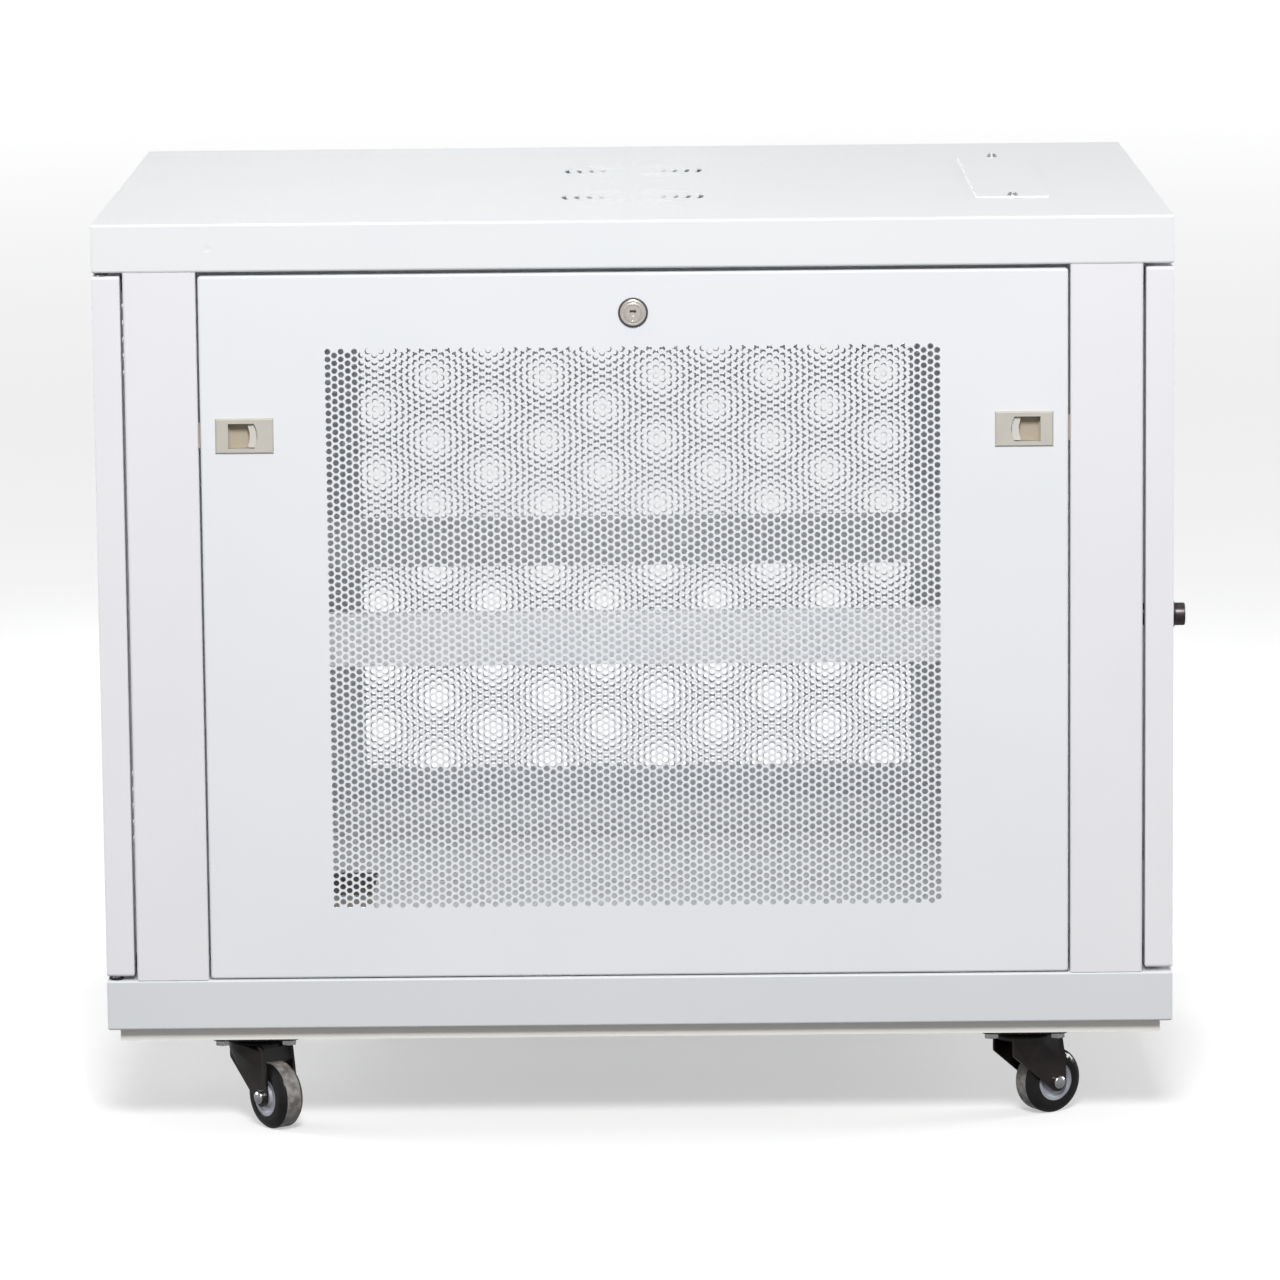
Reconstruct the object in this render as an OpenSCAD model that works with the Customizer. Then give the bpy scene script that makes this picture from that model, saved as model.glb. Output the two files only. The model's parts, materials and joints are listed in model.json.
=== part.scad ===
// Floor-standing 12U network cabinet: folded sheet-steel frame, quick-release side panels,
// glass front door, steel rear door and four swivel casters. Millimetres.
// +Z is up and the origin is on the floor under the middle. The front door faces -Y.

/* [Cabinet] */
// Width of the frame, along X
cab_w = 600; // [580:10:640]
// Depth of the frame, along Y
cab_d = 800; // [760:10:900]
// Rack units between the base and the top cover
rack_units = 12; // [10:1:15]

/* [Sheet metal] */
// Height of the top cover's side wall
top_h = 36; // [32:1:50]
// Height of the base cladding
base_h = 38; // [34:1:50]
// Height of the recessed skirt under the base
skirt_h = 10; // [8:1:16]
// How far the skirt stands back from the base
skirt_inset = 9; // [5:1:12]
// Thickness of the frame's sheet
sheet_t = 1.5; // [1.2:0.1:2]
// Thickness of panels and doors
panel_t = 1.2; // [1:0.1:1.5]
// Width of a corner post seen from the side
post_w = 54; // [50:1:60]
// Depth of a corner post into the cabinet
post_d = 48; // [46:1:50]

/* [Side panels] */
// Depth of a side panel's folded edges
panel_fold = 16; // [14:0.5:16.5]
// Gap between a side panel and the posts
panel_gap = 1.5; // [1:0.25:2]
// Distance of the side lock below the top face
side_lock_drop = 68.7; // [66:0.1:75]
// Distance of the slide latches below the top face
latch_drop = 158; // [140:1:200]
// Travel of a slide latch
latch_travel = 9; // [8.5:0.25:9.5]

/* [Doors] */
// Thickness of both doors
door_t = 21; // [20:0.5:22]
// Gap between a door and its posts
door_gap = 2; // [1.5:0.25:2.5]
// Distance of a hinge pin from the door's side edge
hinge_in = 6; // [6:0.5:8]
// Width of the front door's steel border beside the glass
door_border = 62; // [60:1:80]

/* [Casters] */
// Overall height of a caster
caster_h = 72; // [70:1:80]
// Diameter of a caster's wheel
wheel_d = 50; // [46:1:50]
// Width of a caster's wheel
wheel_w = 22; // [18:1:23]
// Distance of a caster's swivel axis from the cabinet's ends
caster_from_end = 110; // [100:5:150]
// Distance of a caster's swivel axis from the cabinet's sides
caster_from_side = 47; // [46:1:60]

/* [Hidden] */
$fn = 64;
white = [0.92, 0.93, 0.94];
floor_grey = [0.84, 0.85, 0.86];
skirt_grey = [0.6, 0.59, 0.56];
black = [0.07, 0.07, 0.07];
zinc = [0.74, 0.75, 0.76];
gunmetal = [0.2, 0.19, 0.2];
beige = [0.77, 0.75, 0.7];
eps = 0.5;

// Levels, from the floor up
unit_h = 44.45;
z_base = caster_h + skirt_h;
z_floor = z_base + base_h;
z_head = z_floor + rack_units * unit_h;
z_top = z_head + top_h;
z_mid = (z_floor + z_head) / 2;

// Frame flanges and corner posts
side_flange = 60;
end_flange = 23;
corner_plate = [post_d, door_t + door_gap + post_w];
post_y0 = cab_d / 2 - door_t - door_gap - post_w;
post_y1 = cab_d / 2 - door_t - door_gap;
post_x0 = cab_w / 2 - post_d;
post_lip = 12;
post_end_t = 3;
post_bolt_ys = [post_y0 + 13, post_y1 - 13];
post_bolt_x = post_x0 + 22;
m8_hole_r = 4.2;

// Upstands and catches that hold a side panel
upstand_in = 36;
upstand_h = 30;
catch_in = 17.5;
catch_h = 13;

// Top cover openings
vent_xs = [-124, 87];
vent_ring_rs = [24, 33.5, 43, 52.5];
vent_slot_w = 3.6;
vent_bridge = 18.2;
cover_y = 112 - cab_d / 2;
cover_x = 4.2;
cover_size = [329, 55];
cover_corner_r = 4;
cover_screw_xs = [-155.4, 163.8];
cable_slot_size = [250, 36];
screw_r = 1.95;
cover_head_r = 4.2;
cover_head_h = 2.4;

// Recessed lower frame that carries the casters
skirt_w = cab_w - 2 * skirt_inset;
skirt_d = cab_d - 2 * skirt_inset;
channel_w = 85;
end_channel_w = 40;
lower_t = 2;

// Floor panel
floor_t = 1.2;
floor_x = 249.5;
edge_gap_x = [250, 264];
edge_gap_y = 298;
floor_y = cab_d / 2 - end_flange - 1;
floor_plate_size = [112, 450];
floor_plate_y = -15;
floor_slot_x = 12;
floor_slot_size = [104, 430];
rear_entry_size = [220, 138];
rear_entry_y = cab_d / 2 - 50 - rear_entry_size[1] / 2;
floor_vent_x = 179;
floor_vent_r = 4;
floor_vent_pitch = 19;

// Side braces and 19-inch rails
brace_x0 = 242;
brace_x1 = 254;
brace_h = 40;
brace_z = z_base + 287.7;
brace_tab_h = 66;
brace_bolt_dz = 27;
brace_bolt_x = 257;
rail_t = 2;
rail_face = 310;
rail_x0 = 222.5;
rail_x1 = brace_x0;
rail_web = 40;
rail_hole = 9.5;
rail_hole_x = 465.1 / 2;
rail_hole_steps = [6.35, 22.225, 38.1];
rail_bolt_dz = 12;
m6_r = 3;
m6_hole_r = 3.2;
m6_head_r = 5.8;

// Side panel, its latches and its lock, seen from outside
panel_w = 2 * post_y0 - 2 * panel_gap;
panel_z0 = z_floor + 0.8;
panel_z1 = z_head - 3;
latch_plate = [43.4, 26.6, 1.6];
latch_u = panel_w / 2 - 11 - latch_plate[0] / 2;
latch_z = z_top - latch_drop;
latch_bevel = 1.2;
latch_window_u = [-9.6, 12];
latch_window_h = 18.6;
latch_window_r = 19;
latch_box_u = [-20, 17];
latch_box_h = 22;
latch_box_depth = 10;
latch_wall = 1.2;
slider_h = 19.2;
slider_t = 1.8;
slider_w = 7.5;
slider_grip = 5;
tongue_h = 19;
tongue_t = 2.4;
tongue_w0 = 5;
tongue_reach = post_y0 + 8 - latch_u;
slot_clear = 0.8;
side_lock_z = z_top - side_lock_drop;
lock_core_r = 6;
lock_fit = 0.05;
keyway_bar = [4.6, 2];
keyway_stem = [2, 2.4];
keyway_depth = 7;
side_lock_r = 11.1;
side_cam_w = 20;
side_cam_l = 29;
cam_t = 2.5;
cam_w = 14;

// Doors, seen from outside, with depth going inwards as negative
door_w = cab_w - 2;
door_z0 = z_floor + 3;
door_z1 = z_head - 2.5;
door_h = door_z1 - door_z0;
hinge_back = 14;
hinge_u = door_w / 2 - hinge_in;
hinge_depth = door_t - hinge_back;
hinge_pin_r = 3;
hinge_pin_l = 17;
bush_r = 4.5;
bush_collar_r = 5.4;
door_return = 14;
glass_t = 4;
seal_t = 2;
seal_w = 9;
glass_lap = 12;
door_border_v = 52;
glass_w = door_w - 2 * door_border + 2 * glass_lap;
glass_h = door_h - 2 * door_border_v + 2 * glass_lap;
door_lock_u = -(door_w / 2 - 29);
door_lock_r = 11.7;
door_knob_r = 8.5;
door_knob_l = 10.4;
door_cam_y0 = door_t + door_gap + 4;
door_cam_l = 24;
door_cam_w = 12;
cam_slot = [17, 52];
cam_slot_dz = 8;
rear_vent_size = [60, 4];
rear_vent_pitch = [80, 13];

// Casters
caster_plate = [65, 65, 2.5];
caster_bolt_d = 25;
caster_plate_r = 7;
caster_trail = 23;
race_r = 22;
race_h = 6;
kingpin_r = 4;
fork_top_z = caster_h - caster_plate[2] - race_h;
wheel_z = wheel_d / 2;
fork_top_t = 2.5;
fork_leg_t = 2;
fork_crown_h = 5;
fork_foot_x = [-6, 24];
fork_foot_drop = 20;
fork_gap = wheel_w + 2;
axle_r = 3;
axle_fit = 0.05;
hub_r = 17.5;
tread_w = 12.8;
rim_r = 15;
// Direction in which each caster trails, seen from above
trail_front_left = -58;
trail_rear_left = -143;
trail_front_right = 40;
trail_rear_right = 62;

function caster_x(s) = s * (cab_w / 2 - caster_from_side);
function caster_y(s) = s * (cab_d / 2 - caster_from_end);

// ---------- placing ----------

// A thing drawn in the corner +X +Y, put in any corner
module at_corner(sx, sy)
    mirror([sx < 0 ? 1 : 0, 0, 0])
        mirror([0, sy < 0 ? 1 : 0, 0])
            children();

module all_corners()
    for (sx = [-1, 1], sy = [-1, 1])
        at_corner(sx, sy) children();

// An outer face seen from outside: X to the right, Y up, Z outwards
module on_face(turn, dist)
    rotate([0, 0, turn])
        translate([0, -dist, 0])
            rotate([90, 0, 0])
                children();

module on_side(s) on_face(s * 90, cab_w / 2) children();
module on_front() on_face(0, cab_d / 2) children();
module on_rear() on_face(180, cab_d / 2) children();

// ---------- general shapes ----------

module box(x, y, z)
    translate([x[0], y[0], z[0]])
        cube([x[1] - x[0], y[1] - y[0], z[1] - z[0]]);

module rounded_rect(size, r)
    union() {
        square([size[0] - 2 * r, size[1]], center = true);
        square([size[0], size[1] - 2 * r], center = true);
        for (sx = [-1, 1], sy = [-1, 1])
            translate([sx * (size[0] / 2 - r), sy * (size[1] / 2 - r)]) circle(r);
    }

module slot(l, w)
    union() {
        square([l - w, w], center = true);
        for (s = [-1, 1]) translate([s * (l - w) / 2, 0]) circle(w / 2);
    }

// A rectangular tube standing on z0, with its wall inside w by d
module ring_wall(w, d, z0, h, t)
    translate([0, 0, z0])
        linear_extrude(h)
            difference() {
                square([w, d], center = true);
                square([w - 2 * t, d - 2 * t], center = true);
            }

// The frame's inward flange with a plate over each post
module frame_flange(z0)
    translate([0, 0, z0])
        linear_extrude(sheet_t)
            union() {
                difference() {
                    square([cab_w, cab_d], center = true);
                    square([cab_w - 2 * side_flange, cab_d - 2 * end_flange], center = true);
                }
                for (sx = [-1, 1], sy = [-1, 1])
                    translate([sx * (cab_w - corner_plate[0]) / 2, sy * (cab_d - corner_plate[1]) / 2])
                        square(corner_plate, center = true);
            }

module post_bolt_holes(z0, z1, r)
    for (y = post_bolt_ys)
        translate([post_bolt_x, y, z0]) cylinder(r = r, h = z1 - z0);

module hinge_places()
    for (turn = [0, 180])
        rotate([0, 0, turn])
            translate([hinge_u, -cab_d / 2 + hinge_depth, 0]) children();

module bolt(r, head_r, head_h, l)
    union() {
        translate([0, 0, -eps]) cylinder(r = r, h = l + eps);
        translate([0, 0, -head_h]) cylinder(r = head_r, h = head_h, $fn = 6);
    }

// ---------- top ----------

module vent_rings()
    for (r = vent_ring_rs)
        difference() {
            circle(r + vent_slot_w / 2);
            circle(r - vent_slot_w / 2);
            for (a = [0, 60, 120])
                rotate(a) square([3 * r, vent_bridge * r / vent_ring_rs[3]], center = true);
        }

module top_cover()
    color(white)
    difference() {
        union() {
            ring_wall(cab_w, cab_d, z_head, top_h, sheet_t);
            translate([-cab_w / 2, -cab_d / 2, z_top - sheet_t]) cube([cab_w, cab_d, sheet_t]);
            frame_flange(z_head);
            for (s = [-1, 1])
                box(s > 0 ? [cab_w / 2 - catch_in - sheet_t, cab_w / 2 - catch_in]
                          : [-cab_w / 2 + catch_in, -cab_w / 2 + catch_in + sheet_t],
                    [-post_y0 + 2, post_y0 - 2], [z_head - catch_h, z_head + sheet_t]);
        }
        translate([0, 0, z_top - sheet_t - eps])
            linear_extrude(sheet_t + 2 * eps) {
                for (x = vent_xs) translate([x, 0]) vent_rings();
                translate([cover_x, cover_y]) slot(cable_slot_size[0], cable_slot_size[1]);
                for (x = cover_screw_xs) translate([x, cover_y]) circle(screw_r);
            }
        all_corners() {
            post_bolt_holes(z_head - eps, z_head + sheet_t + eps, m8_hole_r);
            translate([cab_w / 2, cab_d / 2, z_top])
                cube([1.6, 1.6, 2], center = true);
        }
        hinge_places()
            translate([0, 0, z_head - eps]) cylinder(r = bush_r, h = sheet_t + 2 * eps);
        on_side(-1)
            translate([-314, z_top - 18.7, -0.4]) cylinder(r = 2.4, h = 1);
    }

module top_cable_cover()
    color(white)
    translate([cover_x, cover_y, z_top])
        linear_extrude(panel_t)
            difference() {
                rounded_rect(cover_size, cover_corner_r);
                for (x = cover_screw_xs) translate([x - cover_x, 0]) circle(screw_r);
            }

module top_cover_screws()
    color(zinc)
    for (x = cover_screw_xs)
        translate([x, cover_y, z_top + panel_t])
            difference() {
                union() {
                    translate([0, 0, -6]) cylinder(r = screw_r, h = 6.5);
                    cylinder(r1 = cover_head_r, r2 = 0.65 * cover_head_r, h = cover_head_h);
                }
                for (a = [0, 90])
                    rotate(a) translate([-2.4, -0.5, cover_head_h - 1]) cube([4.8, 1, 2]);
            }

// ---------- base ----------

module base_frame()
    color(white)
    difference() {
        union() {
            ring_wall(cab_w, cab_d, z_base, base_h, sheet_t);
            frame_flange(z_floor - sheet_t);
            ring_wall(cab_w, cab_d, z_base, sheet_t, 20);
            for (s = [-1, 1])
                box(s > 0 ? [cab_w / 2 - upstand_in - sheet_t, cab_w / 2 - upstand_in]
                          : [-cab_w / 2 + upstand_in, -cab_w / 2 + upstand_in + sheet_t],
                    [-post_y0 + 2, post_y0 - 2], [z_floor - sheet_t, z_floor + upstand_h]);
        }
        all_corners() {
            post_bolt_holes(z_floor - sheet_t - eps, z_floor + eps, m8_hole_r);
            translate([cab_w / 2, cab_d / 2, z_base])
                cube([1.6, 1.6, 2], center = true);
        }
        // Cable gap between the floor panel's edge and the upstand
        for (s = [-1, 1])
            box(s > 0 ? edge_gap_x : [-edge_gap_x[1], -edge_gap_x[0]], [-edge_gap_y, edge_gap_y],
                [z_floor - sheet_t - eps, z_floor + eps]);
        hinge_places()
            translate([0, 0, z_floor - sheet_t - eps]) cylinder(r = bush_r, h = sheet_t + 2 * eps);
    }

module caster_bolt_places()
    for (sx = [-1, 1], sy = [-1, 1], bx = [-1, 1], by = [-1, 1])
        translate([caster_x(sx) + bx * caster_bolt_d, caster_y(sy) + by * caster_bolt_d, 0])
            children();

module lower_frame()
    color(skirt_grey)
    difference() {
        union() {
            ring_wall(skirt_w, skirt_d, caster_h, skirt_h, lower_t);
            translate([0, 0, caster_h])
                linear_extrude(lower_t)
                    difference() {
                        square([skirt_w, skirt_d], center = true);
                        square([skirt_w - 2 * channel_w, skirt_d - 2 * end_channel_w], center = true);
                    }
            for (s = [-1, 1])
                translate([s * (skirt_w / 2 - channel_w + lower_t / 2), 0, caster_h + skirt_h / 2])
                    cube([lower_t, skirt_d - 2 * end_channel_w, skirt_h], center = true);
        }
        caster_bolt_places()
            translate([0, 0, caster_h - eps]) cylinder(r = m6_hole_r, h = lower_t + 2 * eps);
    }

module floor_panel()
    color(floor_grey)
    translate([0, 0, z_floor])
        linear_extrude(floor_t)
            difference() {
                square([2 * floor_x, 2 * floor_y], center = true);
                translate([floor_slot_x, floor_plate_y]) square(floor_slot_size, center = true);
                translate([0, rear_entry_y]) square(rear_entry_size, center = true);
                for (sx = [-1, 1], i = [-11 : 11])
                    translate([sx * floor_vent_x, i * floor_vent_pitch]) circle(floor_vent_r, $fn = 24);
            }

module floor_cover_plate()
    color(floor_grey)
    translate([0, floor_plate_y, z_floor + floor_t])
        linear_extrude(floor_t)
            square(floor_plate_size, center = true);

// ---------- posts, braces and rails ----------

// The post of the corner +X +Y: a channel open towards the cabinet's middle, with end plates
module corner_post(with_cam_slot)
    difference() {
        union() {
            translate([0, 0, z_floor])
                linear_extrude(z_head - z_floor)
                    difference() {
                        translate([post_x0, post_y0]) square([post_d, post_w]);
                        translate([post_x0 + sheet_t, post_y0 + sheet_t])
                            square([post_d - 2 * sheet_t, post_w - 2 * sheet_t]);
                        translate([post_x0 - 1, post_y0 + post_lip])
                            square([4, post_w - 2 * post_lip]);
                    }
            for (z = [z_floor, z_head - post_end_t])
                box([post_x0, post_x0 + post_d], [post_y0, post_y1], [z, z + post_end_t]);
        }
        for (z = [z_floor, z_head - post_end_t])
            post_bolt_holes(z - eps, z + post_end_t + eps, m8_hole_r);
        // Way in for the side latch's tongue, through the wall beside the panel
        box([cab_w / 2 - tongue_w0 - tongue_t - slot_clear, cab_w / 2 - tongue_w0 + slot_clear],
            [post_y0 - eps, post_y0 + sheet_t + eps],
            [latch_z - tongue_h / 2 - slot_clear, latch_z + tongue_h / 2 + slot_clear]);
        // Brace bolts
        for (dz = [-brace_bolt_dz, brace_bolt_dz])
            translate([brace_bolt_x, post_y0 - eps, brace_z + dz])
                rotate([-90, 0, 0]) cylinder(r = m6_hole_r, h = sheet_t + 2 * eps);
        // Way in for the door lock's cam
        if (with_cam_slot)
            box([-door_lock_u - cam_slot[0] / 2, -door_lock_u + cam_slot[0] / 2],
                [post_y1 - sheet_t - eps, post_y1 + eps],
                [z_mid - cam_slot[1] / 2 + cam_slot_dz, z_mid + cam_slot[1] / 2 + cam_slot_dz]);
    }

module post_front_left() color(white) at_corner(-1, -1) corner_post(true);
module post_front_right() color(white) at_corner(1, -1) corner_post(false);
module post_rear_left() color(white) at_corner(-1, 1) corner_post(false);
module post_rear_right() color(white) at_corner(1, 1) corner_post(true);

// The brace of the +X side: a box section between the posts, with a bolted tab at each end
module side_brace()
    difference() {
        union() {
            difference() {
                box([brace_x0, brace_x1], [-post_y0, post_y0],
                    [brace_z - brace_h / 2, brace_z + brace_h / 2]);
                box([brace_x0 + sheet_t, brace_x1 - sheet_t], [-post_y0 - 1, post_y0 + 1],
                    [brace_z - brace_h / 2 + sheet_t, brace_z + brace_h / 2 - sheet_t]);
            }
            for (s = [-1, 1])
                translate([brace_bolt_x, s * (post_y0 - 1), brace_z])
                    cube([2 * (brace_bolt_x - brace_x0), 2, brace_tab_h], center = true);
        }
        for (s = [-1, 1], dz = [-brace_bolt_dz, brace_bolt_dz])
            translate([brace_bolt_x, s * (post_y0 - 1), brace_z + dz])
                rotate([90, 0, 0]) cylinder(r = m6_hole_r, h = 4, center = true);
        rail_bolt_places() translate([-eps, 0, 0])
            rotate([0, 90, 0]) cylinder(r = m6_hole_r, h = sheet_t + 2 * eps);
    }

module rail_bolt_places()
    for (s = [-1, 1], dz = [-rail_bolt_dz, rail_bolt_dz])
        translate([brace_x0, s * (rail_face - rail_web / 2), brace_z + dz]) children();

module brace_left() color(white) at_corner(-1, 1) side_brace();
module brace_right() color(white) side_brace();

// The 19-inch rail of the corner +X +Y, with its punched face turned to that end
module rack_rail()
    difference() {
        translate([0, 0, z_floor + floor_t])
            linear_extrude(z_head - z_floor - floor_t) {
                translate([rail_x0, rail_face - rail_t]) square([rail_x1 - rail_x0, rail_t]);
                translate([rail_x1 - rail_t, rail_face - rail_web]) square([rail_t, rail_web]);
                translate([rail_x1 - 14, rail_face - rail_web]) square([14, rail_t]);
            }
        for (u = [0 : rack_units - 1], s = rail_hole_steps)
            translate([rail_hole_x, rail_face - rail_t / 2, z_floor + u * unit_h + s])
                cube([rail_hole, rail_t + 1, rail_hole], center = true);
        for (dz = [-rail_bolt_dz, rail_bolt_dz])
            translate([rail_x1 - rail_t - eps, rail_face - rail_web / 2, brace_z + dz])
                rotate([0, 90, 0]) cylinder(r = m6_hole_r, h = rail_t + 2 * eps);
    }

module rail_front_left() color(zinc) at_corner(-1, -1) rack_rail();
module rail_front_right() color(zinc) at_corner(1, -1) rack_rail();
module rail_rear_left() color(zinc) at_corner(-1, 1) rack_rail();
module rail_rear_right() color(zinc) at_corner(1, 1) rack_rail();

// Vertical bolts through the cover, base and post ends, and sideways ones into the braces
module frame_bolts()
    color(zinc)
    all_corners() {
        for (y = post_bolt_ys) {
            translate([post_bolt_x, y, z_floor - sheet_t]) bolt(4, 7.2, 5, 10);
            translate([post_bolt_x, y, z_head + sheet_t])
                mirror([0, 0, 1]) bolt(4, 7.2, 5, 10);
        }
        for (dz = [-brace_bolt_dz, brace_bolt_dz])
            translate([brace_bolt_x, post_y0 - 2, brace_z + dz])
                rotate([-90, 0, 0]) bolt(m6_r, m6_head_r, 4, 10);
    }

module rail_bolts()
    color(zinc)
    for (side = [-1, 1])
        at_corner(side, 1)
            rail_bolt_places()
                translate([-rail_t, 0, 0]) rotate([0, 90, 0]) bolt(m6_r, m6_head_r, 4, 9);

module hinge_bushes()
    color(black)
    hinge_places()
        for (up = [0, 1])
            translate([0, 0, up ? z_head : z_floor])
                mirror([0, 0, up])
                    difference() {
                        union() {
                            translate([0, 0, -sheet_t - 1]) cylinder(r = bush_r, h = sheet_t + 2);
                            cylinder(r = bush_collar_r, h = 1.6);
                        }
                        translate([0, 0, -sheet_t - 2])
                            cylinder(r = hinge_pin_r + 0.05, h = sheet_t + 6);
                    }

// ---------- side panels ----------

module latch_window()
    intersection() {
        translate([latch_window_u[0], -latch_window_h / 2])
            square([latch_window_u[1] - latch_window_u[0], latch_window_h]);
        translate([latch_window_u[0] + latch_window_r, 0]) circle(latch_window_r, $fn = 96);
    }

module latch_places()
    for (m = [0, 1])
        mirror([m, 0, 0]) translate([latch_u, latch_z, 0]) children();

module side_panel(s)
    color(white)
    on_side(s)
    difference() {
        union() {
            box([-panel_w / 2, panel_w / 2], [panel_z0, panel_z1], [-panel_t, 0]);
            translate([0, (panel_z0 + panel_z1) / 2, -panel_fold])
                linear_extrude(panel_fold)
                    difference() {
                        square([panel_w, panel_z1 - panel_z0], center = true);
                        square([panel_w - 2 * panel_t, panel_z1 - panel_z0 - 2 * panel_t], center = true);
                    }
        }
        latch_places() {
            translate([(latch_box_u[0] + latch_box_u[1]) / 2, 0, -panel_t])
                cube([latch_box_u[1] - latch_box_u[0] + 0.4, latch_box_h + 0.4, 4 * panel_t], center = true);
            // The tongue's way through the folded edge
            box([tongue_reach / 2, tongue_reach], [-tongue_h / 2 - slot_clear, tongue_h / 2 + slot_clear],
                [-tongue_w0 - tongue_t - slot_clear, -tongue_w0 + slot_clear]);
        }
        translate([0, side_lock_z, -2 * panel_t]) cylinder(r = 9.6, h = 4 * panel_t);
    }

module side_panel_left() side_panel(-1);
module side_panel_right() side_panel(1);

module latch_housing()
    difference() {
        union() {
            // Plate with bevelled edges
            hull() {
                translate([0, 0, 0.1])
                    cube([latch_plate[0], latch_plate[1], 0.2], center = true);
                translate([0, 0, latch_plate[2] - 0.1])
                    cube([latch_plate[0] - 2 * latch_bevel, latch_plate[1] - 2 * latch_bevel, 0.2], center = true);
            }
            box(latch_box_u, [-latch_box_h / 2, latch_box_h / 2], [-latch_box_depth, 0.1]);
        }
        box([latch_box_u[0] + latch_wall, latch_box_u[1] - latch_wall],
            [-latch_box_h / 2 + latch_wall, latch_box_h / 2 - latch_wall],
            [-latch_box_depth + latch_wall, -0.4]);
        translate([0, 0, -latch_wall]) linear_extrude(2 * latch_plate[2] + latch_wall) latch_window();
        box([0, latch_box_u[1] + 1], [-tongue_h / 2 - 0.3, tongue_h / 2 + 0.3],
            [-tongue_w0 - tongue_t - 0.3, -tongue_w0 + 0.3]);
    }

module latch_housings()
    color(beige)
    for (s = [-1, 1])
        on_side(s) latch_places() latch_housing();

// The sliding part: back plate, curved finger grip and the tongue behind the post's wall
module latch_slider()
    union() {
        box([latch_box_u[0] + latch_wall + latch_travel + 0.4, latch_window_u[1] + 3],
            [-slider_h / 2, slider_h / 2], [-slider_w - slider_t + 0.6, -slider_w + 0.6]);
        box([latch_window_u[1] - 1, tongue_reach], [-tongue_h / 2, tongue_h / 2],
            [-tongue_w0 - tongue_t, -tongue_w0]);
        translate([0, 0, -slider_w])
            linear_extrude(slider_w - 0.9)
                difference() {
                    translate([latch_window_u[0] + 0.5, -latch_window_h / 2 + 0.6])
                        square([slider_grip + 1.4, latch_window_h - 1.2]);
                    translate([latch_window_u[0] + 0.5 + slider_grip + latch_window_r, 0])
                        scale([-1, 1]) circle(latch_window_r - 0.2, $fn = 96);
                }
    }

module slider_place(s, m)
    color(beige)
    on_side(s)
        mirror([m, 0, 0])
            translate([latch_u, latch_z, 0]) latch_slider();

module latch_slider_left_front() slider_place(-1, 0);
module latch_slider_left_rear() slider_place(-1, 1);
module latch_slider_right_front() slider_place(1, 1);
module latch_slider_right_rear() slider_place(1, 0);

module side_lock_body(s)
    color(zinc)
    on_side(s)
        translate([0, side_lock_z, 0])
            difference() {
                union() {
                    rotate_extrude()
                        polygon([[0, 0], [side_lock_r, 0], [side_lock_r, 0.7], [side_lock_r - 0.5, 1.5],
                                 [side_lock_r - 1.5, 2.1], [8.6, 2.4], [8.4, 2.0], [7.4, 2.0], [7.2, 2.4],
                                 [6.6, 2.6], [0, 2.6]]);
                    translate([0, 0, -side_cam_w + 1]) cylinder(r = 9.4, h = side_cam_w);
                    translate([0, 0, -panel_t - 4]) cylinder(r = 13, h = 4, $fn = 6);
                }
                translate([0, 0, -side_cam_w]) cylinder(r = lock_core_r + lock_fit, h = side_cam_w + 4);
            }

module side_lock_body_left() side_lock_body(-1);
module side_lock_body_right() side_lock_body(1);

// T-shaped: a deep bar and a shallow stem below it
module keyway()
    union() {
        box([-keyway_bar[0] / 2, keyway_bar[0] / 2], [0, keyway_bar[1]], [-keyway_depth, 1]);
        box([-keyway_stem[0] / 2, keyway_stem[0] / 2], [-keyway_stem[1], 0.1], [-1, 1]);
    }

// Turning plug with its cam at the inner end; cam_turn is the cam's direction at rest
module lock_plug(front, back, l, w, cam_turn)
    difference() {
        union() {
            translate([0, 0, -back]) cylinder(r = lock_core_r, h = back + front);
            rotate(cam_turn)
                translate([0, 0, -back - cam_t])
                    linear_extrude(cam_t)
                        union() {
                            circle(w / 2 + 1);
                            translate([0, -w / 2]) square([l - 3, w]);
                            translate([l - 3, -w / 2 + 3]) square([3, w - 6]);
                            for (s = [-1, 1]) translate([l - 3, s * (w / 2 - 3)]) circle(3);
                        }
        }
        translate([0, 0, front]) keyway();
    }

module side_lock_cam(s)
    color(zinc)
    on_side(s)
        translate([0, side_lock_z, 0])
            lock_plug(2.2, side_cam_w - 0.6, side_cam_l, cam_w, 90);

module side_lock_cam_left() side_lock_cam(-1);
module side_lock_cam_right() side_lock_cam(1);

// ---------- doors ----------

// A folded door tray with a returned edge at the back and pin holes in its top and bottom
module door_tray()
    difference() {
        union() {
            translate([0, (door_z0 + door_z1) / 2, -door_t])
                linear_extrude(door_t)
                    difference() {
                        square([door_w, door_h], center = true);
                        square([door_w - 2 * panel_t, door_h - 2 * panel_t], center = true);
                    }
            translate([0, (door_z0 + door_z1) / 2, -panel_t])
                linear_extrude(panel_t) square([door_w, door_h], center = true);
            translate([0, (door_z0 + door_z1) / 2, -door_t])
                linear_extrude(panel_t)
                    difference() {
                        square([door_w, door_h], center = true);
                        square([door_w - 2 * door_return, door_h - 2 * door_return], center = true);
                    }
        }
        translate([hinge_u, door_z0 - eps, -hinge_depth])
            rotate([-90, 0, 0]) cylinder(r = hinge_pin_r, h = door_h + 2 * eps);
        translate([door_lock_u, z_mid, -door_t - 1]) cylinder(r = 8.6, h = door_t + 2);
    }

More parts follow.
